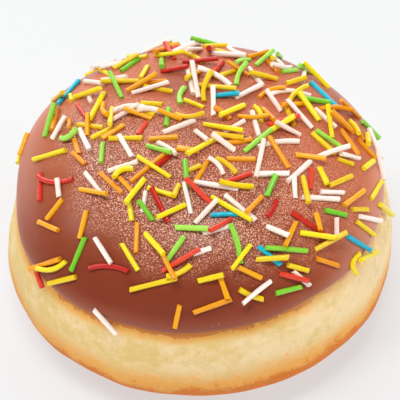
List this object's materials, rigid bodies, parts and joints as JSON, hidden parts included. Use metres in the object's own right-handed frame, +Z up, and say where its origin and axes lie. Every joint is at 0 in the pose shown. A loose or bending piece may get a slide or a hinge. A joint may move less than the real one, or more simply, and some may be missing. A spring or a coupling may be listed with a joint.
{
  "type": "sprinkle frosted doughnut",
  "caption": "Round filled-type yeast doughnut with no hole, its crown dipped in chocolate frosting and scattered with thin sugar rod sprinkles.",
  "frame": {"origin": "middle of the flat spot that the doughnut rests on", "axes": "+Z up through the crown; -Y is the side whose flank shows most; the frosting's edge stands highest at +X and lowest at -X"},
  "size_m": [0.0912, 0.0884, 0.0556],
  "materials": {
    "dough": "soft matt crumb skin, browned at the base",
    "frosting": "satin chocolate frosting with matt coloured sugar sprinkles"
  },
  "bodies": {
    "root": {"dough": "dough", "frosting": "frosting"}
  },
  "joints": []
}
